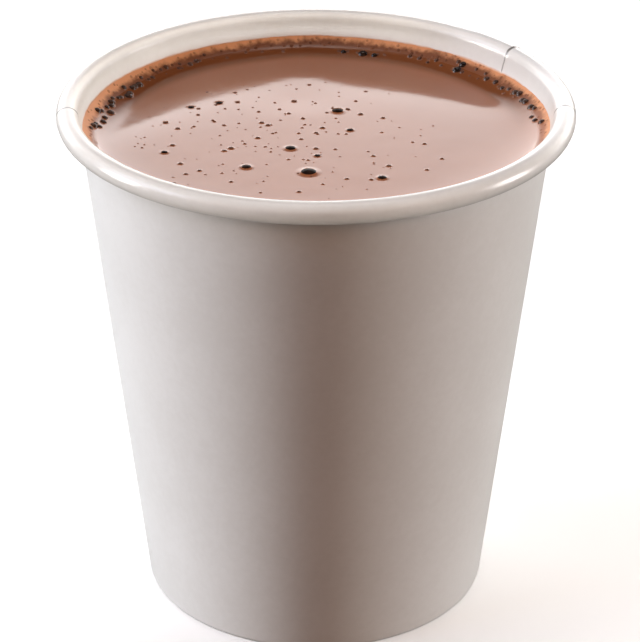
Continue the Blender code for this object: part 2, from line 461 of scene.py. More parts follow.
def buildTurnTree(values):
    tree = bpy.data.node_groups.new("turnPaper", "GeometryNodeTree")
    addSocket(tree, "Geometry", "NodeSocketGeometry")
    addInputs(tree, values)
    addSocket(tree, "Geometry", "NodeSocketGeometry", side="OUTPUT")
    given = addNode(tree, "NodeGroupInput").outputs

    # a sheet of columns by outline points, still flat
    rows = calc(tree, "ADD", given["Outline Points"], 1.0)
    columns = calc(tree, "ADD", given["Columns"], 1.0)
    sheet = addNode(tree, "GeometryNodeMeshGrid", {
        "Size X": 1.0, "Size Y": 1.0, "Vertices X": columns, "Vertices Y": rows}).outputs["Mesh"]
    place = splitAxes(tree, position(tree))
    turn = calc(tree, "ADD", place["X"], 0.5)
    rise = calc(tree, "MULTIPLY", calc(tree, "ADD", place["Y"], 0.5), given["Outline Points"])
    row = calc(tree, "ROUND", rise)
    index = calc(tree, "FLOORED_MODULO", row, given["Outline Points"])

    def sampled(attribute, kind):
        field = readField(tree, attribute, kind)
        return addNode(tree, "GeometryNodeSampleIndex", {
            "Geometry": given["Geometry"], "Value": field, "Index": index},
            data_type=kind, domain="POINT").outputs["Value"]

    spot = splitAxes(tree, sampled("position", "FLOAT_VECTOR"))
    side = splitAxes(tree, sampled("outward", "FLOAT_VECTOR"))
    coated = sampled("coated", "FLOAT")

    # the seam: each face steps once and fades back
    bearing = calc(tree, "MULTIPLY", turn, 360.0)
    last = calc(tree, "ADD", given["Seam Bearing"], given["Seam Width"])
    before = calc(tree, "SUBTRACT", given["Seam Bearing"], given["Seam Fade"])
    after = calc(tree, "ADD", last, given["Seam Fade"])
    outerFade = remap(tree, bearing, before, given["Seam Bearing"], 0.0, 1.0)
    outer = calc(tree, "MULTIPLY", outerFade, calc(tree, "LESS_THAN", bearing, last))
    innerFade = remap(tree, bearing, last, after, 1.0, 0.0)
    inner = calc(tree, "MULTIPLY", innerFade, calc(tree, "GREATER_THAN", bearing, given["Seam Bearing"]))
    lap = addNode(tree, "ShaderNodeMix", {"Factor": coated, "A": outer, "B": inner}, data_type="FLOAT")
    aboveFold = remap(tree, spot["Z"], given["Seam Low"], given["Seam High"], 0.0, 1.0)
    rise = calc(tree, "MULTIPLY", calc(tree, "MULTIPLY", lap.outputs[0], given["Seam Rise"]), aboveFold)

    # crimps pressed into the inner leg of the fold
    angle = calc(tree, "MULTIPLY", turn, math.tau)
    leg = calc(tree, "MULTIPLY", remap(tree, spot["Z"], given["Crimp Low"], given["Crimp High"], 0.0, 1.0),
               calc(tree, "LESS_THAN", spot["Z"], given["Fold Height"]))
    insideLeg = calc(tree, "LESS_THAN", spot["X"], given["Crimp Radius"])
    tooth = calc(tree, "SINE", calc(tree, "MULTIPLY", angle, given["Crimps"]))
    crimp = calc(tree, "MULTIPLY", calc(tree, "MULTIPLY", leg, insideLeg),
                 calc(tree, "MULTIPLY", tooth, given["Crimp Depth"]))

    radius = calc(tree, "ADD", calc(tree, "MULTIPLY_ADD", side["X"], rise, spot["X"]), crimp)
    height = calc(tree, "MULTIPLY_ADD", side["Z"], rise, spot["Z"])

    # paper is never quite round: a slow wave that dies out towards the foot
    cosine = calc(tree, "COSINE", angle)
    sine = calc(tree, "SINE", angle)
    stretched = calc(tree, "MULTIPLY_ADD", spot["Z"], given["Wave Stretch"], given["Seed"])
    cloud = noiseAt(tree, joinAxes(tree, cosine, sine, stretched), given["Wave Scale"], 1.0)
    slow = calc(tree, "MULTIPLY", calc(tree, "SUBTRACT", cloud, given["Wave Middle"]), given["Wave"])
    grown = remap(tree, spot["Z"], given["Wave Low"], given["Wave High"], 0.0, 1.0)
    radius = calc(tree, "ADD", radius, calc(tree, "MULTIPLY", slow, grown))

    turned = joinAxes(tree, calc(tree, "MULTIPLY", radius, cosine),
                      calc(tree, "MULTIPLY", radius, sine), height)
    kept = storeField(tree, sheet, "coated", coated)
    moved = addNode(tree, "GeometryNodeSetPosition", {"Geometry": kept, "Position": turned})
    closed = addNode(tree, "GeometryNodeMergeByDistance", {
        "Geometry": moved.outputs[0], "Distance": given["Weld Gap"]})
    finishTree(tree, closed.outputs[0], given["Material"])
    return tree


def finishMesh(mesh, sharp):
    model = bmesh.new()
    model.from_mesh(mesh)
    bmesh.ops.recalc_face_normals(model, faces=model.faces)
    model.to_mesh(mesh)
    model.free()
    mesh.shade_smooth()
    mesh.set_sharp_from_angle(angle=math.radians(sharp))


def makeCupWall(material):
    outline, count = makeOutline()
    piece = newPiece("cupWall", outline)
    values = turnValues(count, material)
    mesh = runTree(piece, buildTurnTree(values), values)
    finishMesh(mesh, paperPlan["sharpAngle"])
    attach(piece, "root")
    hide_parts("cup_wall")
    print("cup wall:", len(mesh.vertices), "points")


# drink: a level surface with a slight swell that climbs where it wets the wall

drinkPlan = dict(
    level=76.95,
    wettingRise=2.4,
    wettingWidth=2.4,
    leftWidth=1.8,
    swell=0.23,
    leftSwell=0.3,
    swellWidth=6.0,
    ridge=18.5,
    leftBend=0.019,
    rightBend=0.008,
    middle=-2.5,
    middleWidth=6.0,
    middleShare=0.8,
    middleFrom=6.0,
    middleFade=10.0,
    leftFrom=12.0,
    leftFade=14.0,
    intoWall=0.15,
    rings=110,
    crowding=1.35,
    columns=360,
    sideHeights=(70.0, 40.0),
    bottom=7.5,
    lumps=0.12,
    lumpScale=0.9,
    lumpSeed=4.0,
    sharpAngle=60.0,
)


def brimRadius():
    return wallRadius(drinkPlan["level"] + drinkPlan["wettingRise"]) - halfPaper


def towardsLeft(x):
    return ease((-x - drinkPlan["leftFrom"]) / drinkPlan["leftFade"])


def swellHeight(x, y):
    # the surface falls a little beyond a curved ridge, less so near its middle
    bend = drinkPlan["leftBend"] if x < 0.0 else drinkPlan["rightBend"]
    ridge = drinkPlan["ridge"] - bend * x * x
    across = (x - drinkPlan["middle"]) / drinkPlan["middleWidth"]
    middle = math.exp(-across * across) * ease((y - drinkPlan["middleFrom"]) / drinkPlan["middleFade"])
    share = 1.0 - drinkPlan["middleShare"] * middle
    depth = drinkPlan["swell"] + (drinkPlan["leftSwell"] - drinkPlan["swell"]) * towardsLeft(x)
    return -depth * share * math.tanh((y - ridge) / drinkPlan["swellWidth"])


def surfaceHeight(x, y):
    distance = max(brimRadius() - math.hypot(x, y), 0.0)
    width = drinkPlan["wettingWidth"] + (drinkPlan["leftWidth"] - drinkPlan["wettingWidth"]) * towardsLeft(x)
    climb = drinkPlan["wettingRise"] * math.exp(-distance / width)
    scale = drinkPlan["lumpScale"]
    lump = noise.noise(Vector((x * scale, y * scale, drinkPlan["lumpSeed"])))
    ragged = lump * drinkPlan["lumps"] * math.exp(-distance)
    return drinkPlan["level"] + swellHeight(x, y) + climb + ragged


def makeDrink(material):
    brim = brimRadius() + drinkPlan["intoWall"]
    rings = drinkPlan["rings"]
    columns = drinkPlan["columns"]
    bottom = drinkPlan["bottom"]
    turns = [math.tau * column / columns for column in range(columns)]
    circle = [(math.cos(turn), math.sin(turn)) for turn in turns]
    model = bmesh.new()
    middle = model.verts.new((0.0, 0.0, surfaceHeight(0.0, 0.0) * mm))
    ringRows = []
    for ring in range(1, rings + 1):
        share = ring / rings
        radius = brim * (1.0 - (1.0 - share) ** drinkPlan["crowding"])  # rings crowd towards the wall
        spots = [(radius * x, radius * y) for x, y in circle]
        ringRows.append([model.verts.new((x * mm, y * mm, surfaceHeight(x, y) * mm)) for x, y in spots])
    for height in (*drinkPlan["sideHeights"], bottom):
        radius = wallRadius(height) - halfPaper + (0.0 if height == bottom else drinkPlan["intoWall"])
        ringRows.append([model.verts.new((radius * x * mm, radius * y * mm, height * mm)) for x, y in circle])
    base = model.verts.new((0.0, 0.0, bottom * mm))
    for column in range(columns):
        beyond = (column + 1) % columns
        model.faces.new((middle, ringRows[0][column], ringRows[0][beyond]))
        model.faces.new((base, ringRows[-1][beyond], ringRows[-1][column]))
        for first, second in zip(ringRows, ringRows[1:]):
            model.faces.new((first[column], second[column], second[beyond], first[beyond]))
    mesh = bpy.data.meshes.new("hotChocolate")
    model.to_mesh(mesh)
    model.free()
    finishMesh(mesh, drinkPlan["sharpAngle"])
    mesh.materials.append(material)
    piece = newPiece("hotChocolate", mesh)
    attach(piece, "root")
    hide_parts("hot_chocolate")
    print("drink:", len(mesh.vertices), "points")
    return piece


# bubbles on the drink: places and widths in mm, froth along the wall by bearing, and the shape of one
# bubble in its own radii

bubblePlan = dict(
    seed=11,
    large=[(-1.1, -14.9, 2.2), (3.4, 8.8, 1.7), (-3.9, -6.0, 1.5), (-10.5, -13.1, 1.4), (9.9, -16.9, 1.3),
           (-15.4, 12.2, 1.1), (-19.8, 10.5, 1.0), (-23.1, -7.8, 1.0), (5.3, 1.1, 1.0), (0.2, -8.8, 0.9)],
    small=[(-13.0, -6.0, 0.8), (-14.0, -7.0, 0.7), (-8.5, 4.0, 0.7), (-7.5, 3.0, 0.7), (-3.5, 13.0, 0.8),
           (-23.5, 4.0, 0.8), (5.0, 9.5, 0.7), (-21.5, 1.5, 0.7), (-9.0, -2.0, 0.7), (-22.0, -5.0, 0.7),
           (0.0, -6.0, 0.7), (10.5, 6.0, 0.6), (7.0, 7.5, 0.7), (11.0, -12.5, 0.7), (-20.5, -12.0, 0.7),
           (1.0, 2.0, 0.7), (-17.5, -14.5, 0.6), (-12.5, 12.5, 0.7), (0.0, 0.0, 0.6), (-2.5, -22.0, 0.6)],
    wall=[(4.5, 33.0, 0.9), (7.7, 32.3, 1.5), (9.6, 31.7, 1.0), (22.9, 24.8, 1.4), (23.9, 25.6, 1.2),
          (-30.3, -16.4, 0.8)],
    froth=[dict(first=146.0, last=181.0, count=22, inset=(1.0, 2.8), width=(0.7, 1.3), deep=0.8),
           dict(first=1.0, last=37.0, count=13, inset=(1.0, 2.6), width=(0.7, 1.2), deep=0.8),
           dict(first=120.0, last=146.0, count=12, inset=(0.8, 2.0), width=(0.5, 0.9), deep=0.6),
           dict(first=38.0, last=64.0, count=10, inset=(0.8, 2.4), width=(0.5, 0.8), deep=0.6)],
    fineFroth=[dict(first=-8.0, last=192.0, count=110, inset=(0.2, 1.5), width=(0.3, 0.6), deep=-0.2),
               dict(first=20.0, last=150.0, count=50, inset=(0.9, 2.6), width=(0.3, 0.6), deep=0.3),
               dict(first=192.0, last=352.0, count=40, inset=(0.3, 1.0), width=(0.3, 0.5), deep=-0.2)],
    # how dark the painted shade in each bubble's dome is
    largeDeep=1.0,
    smallDeep=0.45,
    startHeight=90.0,
    jitter=(0.1, 0.9),
    steps=(16, 28),
    fineSteps=(8, 12),
    reach=2.35,
    foot=0.1,
    fall=0.45,
    sink=0.02,
    dome=0.22,
    frothDome=0.6,
    flatShape=1.0,
    frothShape=0.6,
    fineDome=0.3,
    closing=0.5,
    weldGap=0.0005,
    slack=0.001,
    sharpAngle=70.0,
    specks=150.0,
    speckArea=25.0,
    areaSides=48,
    speckCentre=(-3.5, -2.5),
    speckWidths=(0.22, 0.6),
    speckPatches=90.0,
    patchRange=(0.42, 0.62),
    patchLeast=0.1,
    thinFrom=2.0,
    thinTo=18.0,
    thinShare=0.35,
    speckGap=0.5,
    speckBias=2.2,
    speckDeep=(-0.3, 0.4),
)


def alongWall(plan, dice):
    spots = []
    for index in range(plan["count"]):
        share = (index + dice.uniform(*bubblePlan["jitter"])) / plan["count"]
        bearing = math.radians(plan["first"] + (plan["last"] - plan["first"]) * share)
        radius = brimRadius() - dice.uniform(*plan["inset"])
        width = dice.uniform(*plan["width"])
        spots.append((radius * math.cos(bearing), radius * math.sin(bearing), width, plan["deep"]))
    return spots


def makePoints(name, spots):
    # loose points above the drink that carry each bubble's width and how dark the painted shade in it is
    mesh = bpy.data.meshes.new(name)
    height = bubblePlan["startHeight"]
    mesh.from_pydata([(spot[0] * mm, spot[1] * mm, height * mm) for spot in spots], [], [])
    for key, column in (("width", 2), ("deep", 3)):
        values = [spot[column] * (mm if key == "width" else 1.0) for spot in spots]
        mesh.attributes.new(key, "FLOAT", "POINT").data.foreach_set("value", values)
    return mesh


def addBubbleShape(tree, given):
    # one bubble of radius 1: a low dome in the middle of a skirt that falls away, closed underneath
    rows = calc(tree, "ADD", given["Rings"], 1.0)
    columns = calc(tree, "ADD", given["Segments"], 1.0)
    sheet = addNode(tree, "GeometryNodeMeshGrid", {
        "Size X": 1.0, "Size Y": 1.0, "Vertices X": columns, "Vertices Y": rows}).outputs["Mesh"]
    place = splitAxes(tree, position(tree))
    angle = calc(tree, "MULTIPLY", calc(tree, "ADD", place["X"], 0.5), math.tau)
    row = calc(tree, "ROUND", calc(tree, "MULTIPLY", calc(tree, "ADD", place["Y"], 0.5), given["Rings"]))
    # share is 0 at the dome's top, 0.5 at its foot and 1 at the skirt's end; the last row closes it below
    share = calc(tree, "DIVIDE", row, calc(tree, "SUBTRACT", given["Rings"], 1.0))
    inner = calc(tree, "MINIMUM", calc(tree, "MULTIPLY", share, 2.0), 1.0)
    outer = calc(tree, "MAXIMUM", calc(tree, "MULTIPLY_ADD", share, 2.0, -1.0), 0.0)
    skirt = calc(tree, "MULTIPLY", outer, calc(tree, "SUBTRACT", given["Reach"], 1.0))
    under = calc(tree, "GREATER_THAN", share, 1.0 + bubblePlan["slack"])
    kept = calc(tree, "SUBTRACT", 1.0, under)
    radius = calc(tree, "MULTIPLY", calc(tree, "ADD", inner, skirt), kept)
    crown = calc(tree, "MAXIMUM", calc(tree, "SUBTRACT", 1.0, calc(tree, "MULTIPLY", inner, inner)), 0.0)
    cap = calc(tree, "MULTIPLY", calc(tree, "POWER", crown, given["Shape"]), given["Dome"])
    slope = calc(tree, "EXPONENT", calc(tree, "DIVIDE", calc(tree, "MULTIPLY", skirt, -1.0), given["Fall"]))
    height = calc(tree, "MULTIPLY_ADD", slope, given["Foot"], cap)
    height = calc(tree, "SUBTRACT", height, calc(tree, "MULTIPLY", outer, given["Sink"]))
    height = calc(tree, "SUBTRACT", height, calc(tree, "MULTIPLY", under, bubblePlan["closing"]))
    spot = joinAxes(tree, calc(tree, "MULTIPLY", radius, calc(tree, "COSINE", angle)),
                    calc(tree, "MULTIPLY", radius, calc(tree, "SINE", angle)), height)
    marked = storeField(tree, sheet, "cap", calc(tree, "LESS_THAN", share, 0.5 + bubblePlan["slack"]))
    moved = addNode(tree, "GeometryNodeSetPosition", {"Geometry": marked, "Position": spot}).outputs[0]
    return addNode(tree, "GeometryNodeMergeByDistance", {
        "Geometry": moved, "Distance": bubblePlan["weldGap"]}).outputs[0]


def addSpecks(tree, given):
    # pinprick bubbles in loose patches over the middle of the drink
    disc = addNode(tree, "GeometryNodeMeshCircle", {
        "Vertices": bubblePlan["areaSides"], "Radius": given["Speck Area"]},
        fill_type="TRIANGLE_FAN").outputs["Mesh"]
    lifted = addNode(tree, "GeometryNodeTransform", {
        "Geometry": disc, "Translation": given["Speck Centre"]}).outputs[0]
    cloud = noiseAt(tree, position(tree), given["Speck Patches"], 1.0)
    patches = remap(tree, cloud, *bubblePlan["patchRange"], bubblePlan["patchLeast"], 1.0)
    thinner = remap(tree, splitAxes(tree, position(tree))["X"], bubblePlan["thinFrom"] * mm,
                    bubblePlan["thinTo"] * mm, 1.0, bubblePlan["thinShare"])
    thick = calc(tree, "MULTIPLY", patches, thinner)
    area = calc(tree, "MULTIPLY", calc(tree, "MULTIPLY", given["Speck Area"], given["Speck Area"]), math.pi)
    most = calc(tree, "DIVIDE", calc(tree, "MULTIPLY", given["Specks"], 2.0), area)
    points = addNode(tree, "GeometryNodeDistributePointsOnFaces", {
        "Mesh": lifted, "Distance Min": given["Speck Gap"], "Density Max": most, "Density Factor": thick,
        "Seed": given["Seed"]}, distribute_method="POISSON").outputs["Points"]
    dice = addNode(tree, "FunctionNodeRandomValue", {"Seed": given["Seed"]}, data_type="FLOAT").outputs[1]
    biased = calc(tree, "POWER", dice, bubblePlan["speckBias"])  # most are thin
    width = remap(tree, biased, 0.0, 1.0, given["Thinnest"], given["Widest"], smooth=False)
    # the specks' painted shade runs from faint to dark
    faint, paintedShade = bubblePlan["speckDeep"]
    deep = calc(tree, "MULTIPLY_ADD", biased, paintedShade - faint, faint)
    return storeField(tree, storeField(tree, points, "width", width), "deep", deep)


def bubbleValues(drink, material, dome, shape, steps):
    values = inputsFrom(bubblePlan, ("seed", "reach", "foot", "fall", "sink"), ("startHeight",))
    values.update({"Surface": drink, "Rings": steps[0], "Segments": steps[1], "Dome": dome, "Shape": shape,
                   "Material": material})
    return values


def speckValues():
    values = inputsFrom(bubblePlan, ("specks", "speckPatches"), ("speckArea", "speckGap"))
    across, along = bubblePlan["speckCentre"]
    values["Speck Centre"] = (across * mm, along * mm, bubblePlan["startHeight"] * mm)
    values["Thinnest"], values["Widest"] = (width * mm for width in bubblePlan["speckWidths"])
    return values


def buildBubbleTree(name, values):
    tree = bpy.data.node_groups.new(name, "GeometryNodeTree")
    addSocket(tree, "Geometry", "NodeSocketGeometry")
    addInputs(tree, values)
    addSocket(tree, "Geometry", "NodeSocketGeometry", side="OUTPUT")
    given = addNode(tree, "NodeGroupInput").outputs
    if "Specks" in values:
        points = addSpecks(tree, given)
    else:
        points = addNode(tree, "GeometryNodeMeshToPoints", {"Mesh": given["Geometry"]}).outputs[0]
    # each point drops on the drink and stands square to it
    surface = addNode(tree, "GeometryNodeObjectInfo", {"Object": given["Surface"]}).outputs["Geometry"]
    dropped = addNode(tree, "GeometryNodeRaycast", {
        "Target Geometry": surface, "Source Position": position(tree), "Ray Direction": (0.0, 0.0, -1.0),
        "Ray Length": given["Start Height"]}).outputs
    facing = storeField(tree, points, "facing", dropped["Hit Normal"], "FLOAT_VECTOR")
    landed = addNode(tree, "GeometryNodeSetPosition", {
        "Geometry": facing, "Selection": dropped["Is Hit"], "Position": dropped["Hit Position"]}).outputs[0]
    turned = addNode(tree, "FunctionNodeAlignRotationToVector", {
        "Vector": readField(tree, "facing", "FLOAT_VECTOR")}, axis="Z").outputs[0]
    half = calc(tree, "MULTIPLY", readField(tree, "width"), 0.5)
    placed = addNode(tree, "GeometryNodeInstanceOnPoints", {
        "Points": landed, "Instance": addBubbleShape(tree, given), "Rotation": turned,
        "Scale": joinAxes(tree, half, half, half)}).outputs[0]
    finishTree(tree, placed, given["Material"])
    return tree


def makeBubbles(name, spots, values):
    piece = newPiece(name, makePoints(name, spots))
    mesh = runTree(piece, buildBubbleTree(name + "Tree", values), values)
    finishMesh(mesh, bubblePlan["sharpAngle"])
    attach(piece, "root")
    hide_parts("hot_chocolate")
    print(name + ":", len(mesh.vertices), "points")


def makeAllBubbles(drink, still, glossy):
    dice = random.Random(bubblePlan["seed"])
    flat = bubblePlan["flatShape"]
    fineDome = bubblePlan["fineDome"]
    loose = [(*spot, bubblePlan["largeDeep"]) for spot in bubblePlan["large"]]
    loose += [(*spot, bubblePlan["smallDeep"]) for spot in bubblePlan["small"]]
    makeBubbles("bubbles", loose, bubbleValues(drink, still, bubblePlan["dome"], flat, bubblePlan["steps"]))
    froth = [(*spot, bubblePlan["largeDeep"]) for spot in bubblePlan["wall"]]
    for plan in bubblePlan["froth"]:
        froth += alongWall(plan, dice)
    makeBubbles("froth", froth, bubbleValues(
        drink, glossy, bubblePlan["frothDome"], bubblePlan["frothShape"], bubblePlan["steps"]))
    fine = []
    for plan in bubblePlan["fineFroth"]:
        fine += alongWall(plan, dice)
    fineValues = bubbleValues(drink, still, fineDome, flat, bubblePlan["fineSteps"])
    makeBubbles("fineFroth", fine, fineValues)
    makeBubbles("specks", [], {**fineValues, **speckValues()})


# materials

paperLook = dict(
    darkWhite=(0.845, 0.835, 0.815, 1.0),
    lightWhite=(0.885, 0.878, 0.862, 1.0),
    mottleScale=55.0,
    fibreScale=900.0,
    fibreShare=0.35,
    toneRange=(0.35, 0.65),
    bendScale=300.0,
    bend=(0.0012, 0.0012, 0.0006),
    grain=0.05,
    grainDepth=0.2,
    sheenSpread=0.04,
    outerRoughness=0.42,
    coatedRoughness=0.22,
    coatedRange=(0.4, 0.6),
    gloss=0.65,
    throughColour=(1.0, 0.975, 0.94, 1.0),
    throughShare=0.75,
    throughFrom=78.5,
    throughTo=80.5,
    rightShare=0.4,
    rightFrom=12.0,
    rightTo=30.0,
    rollShare=0.4,
    rollFrom=37.0,
    rollTo=37.8,
    innerFrom=50.0,
    tideHeight=79.12,
    tideScale=260.0,
    tideWobble=0.6,
    tideRange=(-0.2, 0.3),
    tideColour=(0.72, 0.4, 0.24, 1.0),
    # the crease colour is painted shade for the fine dark lines listed below
    creaseShadeColour=(0.16, 0.15, 0.14, 1.0),
    creaseScale=500.0,
    creaseWobble=0.6,
    creaseCore=0.4,
    creases=[
        dict(name="rightCrease", bearing=-4.0, width=0.3, low=81.0, high=82.0, strength=0.75),
        dict(name="leftCrease", bearing=186.0, width=0.3, low=81.0, high=82.0, strength=0.75),
        dict(name="seamNotch", bearing=33.8, width=0.3, low=82.0, high=82.9, strength=0.85),
        dict(name="seamLine", bearing=33.8, width=0.16, low=79.0, high=79.6, strength=0.6),
    ],
)


def creaseValues(plan, spot):
    return {"Position": spot, **inputsFrom(plan, ("bearing", "strength"), ("width", "low", "high"))}


def makeCreaseGroup():
    # a fine line up the paper at one bearing, from a height upwards
    group = bpy.data.node_groups.new("paperCrease", "ShaderNodeTree")
    addInputs(group, creaseValues(paperLook["creases"][0], (0.0, 0.0, 0.0)))
    addSocket(group, "Amount", "NodeSocketFloat", side="OUTPUT")
    given = addNode(group, "NodeGroupInput").outputs
    part = splitAxes(group, given["Position"])
    angle = calc(group, "RADIANS", given["Bearing"])
    along = calc(group, "MULTIPLY_ADD", part["X"], calc(group, "COSINE", angle),
                 calc(group, "MULTIPLY", part["Y"], calc(group, "SINE", angle)))
    across = calc(group, "SUBTRACT", calc(group, "MULTIPLY", part["Y"], calc(group, "COSINE", angle)),
                  calc(group, "MULTIPLY", part["X"], calc(group, "SINE", angle)))
    wobble = calc(group, "SUBTRACT", noiseAt(group, given["Position"], paperLook["creaseScale"], 1.0), 0.5)
    shifted = calc(group, "MULTIPLY_ADD", wobble, paperLook["creaseWobble"] * mm, across)
    core = calc(group, "MULTIPLY", given["Width"], paperLook["creaseCore"])
    near = remap(group, calc(group, "ABSOLUTE", shifted), core, given["Width"], 1.0, 0.0)
    raised = remap(group, part["Z"], given["Low"], given["High"], 0.0, 1.0)
    sameSide = calc(group, "GREATER_THAN", along, 0.0)
    line = calc(group, "MULTIPLY", calc(group, "MULTIPLY", near, raised), sameSide)
    addNode(group, "NodeGroupOutput", {"Amount": calc(group, "MULTIPLY", line, given["Strength"])})
    return group


def paperValues(spot):
    plain = ("darkWhite", "lightWhite", "mottleScale", "fibreScale")
    return {"Position": spot, **inputsFrom(paperLook, plain)}


def makePaperGroup():
    # cloudy white stock with short fibres: a colour, a grain height and a mask of the clouds
    group = bpy.data.node_groups.new("paperGrain", "ShaderNodeTree")
    addInputs(group, paperValues((0.0, 0.0, 0.0)))
    addSocket(group, "Colour", "NodeSocketColor", side="OUTPUT")
    addSocket(group, "Grain", "NodeSocketFloat", side="OUTPUT")
    addSocket(group, "Cloud", "NodeSocketFloat", side="OUTPUT")
    given = addNode(group, "NodeGroupInput").outputs
    cloud = noiseAt(group, given["Position"], given["Mottle Scale"], 5.0, 0.6)
    bent = noiseAt(group, given["Position"], paperLook["bendScale"], 1.0).node.outputs["Color"]
    shifted = vectorCalc(group, "MULTIPLY_ADD", bent, paperLook["bend"])
    group.links.new(given["Position"], shifted.node.inputs[2])
    fibre = noiseAt(group, shifted, given["Fibre Scale"], 3.0, 0.55)
    share = paperLook["fibreShare"]
    tone = calc(group, "MULTIPLY_ADD", fibre, share, calc(group, "MULTIPLY", cloud, 1.0 - share))
    shade = remap(group, tone, *paperLook["toneRange"], 0.0, 1.0)
    colour = mixColour(group, shade, given["Dark White"], given["Light White"])
    addNode(group, "NodeGroupOutput", {"Colour": colour, "Grain": fibre, "Cloud": cloud})
    return group


def makePaperMaterial(name, group, coatedEverywhere):
    material = bpy.data.materials.new(name)
    material.use_nodes = True
    tree = material.node_tree
    shader = tree.nodes["Principled BSDF"]
    output = tree.nodes["Material Output"]
    spot = addNode(tree, "ShaderNodeTexCoord").outputs["Object"]
    grain = placeGroup(tree, group, paperValues(spot))
    colour = grain["Colour"]
    relief = grain["Grain"]
    if not coatedEverywhere:
        place = splitAxes(tree, spot)
        uneven = calc(tree, "SUBTRACT", noiseAt(tree, spot, paperLook["tideScale"], 3.0), 0.5)
        height = calc(tree, "MULTIPLY_ADD", uneven, -paperLook["tideWobble"] * mm, place["Z"])
        low, high = ((paperLook["tideHeight"] + step) * mm for step in paperLook["tideRange"])
        wet = remap(tree, height, low, high, 1.0, 0.0)
        coated = addNode(tree, "ShaderNodeAttribute", attribute_name="coated").outputs["Fac"]
        upper = calc(tree, "GREATER_THAN", place["Z"], paperLook["innerFrom"] * mm)
        inner = calc(tree, "MULTIPLY", coated, upper)
        colour = mixColour(tree, calc(tree, "MULTIPLY", wet, inner), colour, paperLook["tideColour"])
        creases = makeCreaseGroup()
        for plan in paperLook["creases"]:
            shadeAndGroove = placeGroup(tree, creases, creaseValues(plan, spot))["Amount"]
            shadeAndGroove.node.label = plan["name"]
            # painted shade: dark lines where the roll's outline turns at left and right and along the seam's
            # step, which also dent the grain
            colour = mixColour(tree, shadeAndGroove, colour, paperLook["creaseShadeColour"])
            relief = calc(tree, "SUBTRACT", relief, shadeAndGroove)
    tree.links.new(colour, shader.inputs["Base Color"])
    shader.inputs["Specular IOR Level"].default_value = paperLook["gloss"]
    sheen = paperLook["coatedRoughness"]
    if not coatedEverywhere:
        sheen = remap(tree, coated, *paperLook["coatedRange"], paperLook["outerRoughness"], sheen)
    spread = paperLook["sheenSpread"]
    roughness = calc(tree, "ADD", fromNoise(tree, grain["Cloud"], -spread, spread), sheen)
    tree.links.new(roughness, shader.inputs["Roughness"])
    bump = addNode(tree, "ShaderNodeBump", {
        "Height": relief, "Strength": paperLook["grain"], "Distance": paperLook["grainDepth"] * mm})
    tree.links.new(bump.outputs["Normal"], shader.inputs["Normal"])
    if coatedEverywhere:
        return material
    # light comes through the thin paper of the rim, where no drink lies behind it, less so at the right
    # and where the roll doubles it
    flat = joinAxes(tree, place["X"], place["Y"])
    share = remap(tree, place["Z"], paperLook["throughFrom"] * mm, paperLook["throughTo"] * mm,
                  0.0, paperLook["throughShare"])
    for distance, key in ((vectorCalc(tree, "LENGTH", flat), "roll"), (place["X"], "right")):
        start = paperLook[key + "From"] * mm
        share = calc(tree, "MULTIPLY", share, remap(
            tree, distance, start, paperLook[key + "To"] * mm, 1.0, paperLook[key + "Share"]))
    through = addNode(tree, "ShaderNodeBsdfTranslucent", {
        "Color": mixColour(tree, 1.0, colour, paperLook["throughColour"], "MULTIPLY"),
        "Normal": bump.outputs["Normal"]})
    sheet = addNode(tree, "ShaderNodeMixShader", {0: share, 1: shader.outputs[0], 2: through.outputs[0]})
    inside = addNode(tree, "ShaderNodeNewGeometry").outputs["Backfacing"]
    clear = addNode(tree, "ShaderNodeBsdfTransparent")
    whole = addNode(tree, "ShaderNodeMixShader", {0: inside, 1: sheet.outputs[0], 2: clear.outputs[0]})
    tree.links.new(whole.outputs[0], output.inputs["Surface"])
    return material


drinkLook = dict(
    body=(0.36, 0.126, 0.054, 1.0),
    # band is painted shade: the drink's colour near the wall at the rear, darkened for the shade there
    band=(0.2, 0.065, 0.023, 1.0),
    edge=(0.6, 0.26, 0.12, 1.0),
    # glow is painted light: the drink's edge gives off this light though it is no lamp
    glow=(0.12, 0.052, 0.02, 1.0),
    edgeWidth=0.6,
    edgeSoft=0.5,
    raggedScale=700.0,
    raggedReach=1.6,
    wanderScale=120.0,
    wanderReach=1.4,
    leftRange=(-36.0, -18.0),
    leftWider=0.6,
    litRange=(-16.0, -4.0),
    bandWidth=3.4,
    bandFade=1.7,
    rearRange=(-2.0, 16.0),
    cloudScale=70.0,
    cloudColour=(0.2, 0.06, 0.03, 1.0),
    cloudShare=0.12,
    roughness=0.08,
    edgeRoughness=0.55,
    roughRange=(1.0, 2.2),
    ior=1.35,
    ripple=0.02,
    rippleScale=160.0,
    rippleDepth=1.0,
    # the dark dome colours are painted shade
    deepHole=(0.012, 0.006, 0.004, 1.0),
    faintHoleShade=(0.22, 0.09, 0.05, 1.0),
    holeGrain=1500.0,
    holeSpread=0.08,
    softRange=(-0.3, 0.1),
    softLeast=0.35,
    capRange=(0.1, 0.5),
    stillDome=dict(gloss=0.03, roughness=0.3),
    glossyDome=dict(gloss=0.5, roughness=0.08),
)


def filmValues(spot):
    plain = ("body", "band", "edge", "glow", "cloudScale", "roughness", "edgeRoughness")
    values = inputsFrom(drinkLook, plain, ("edgeWidth", "bandWidth"))
    return {"Position": spot, "Brim": brimRadius() * mm, **values}


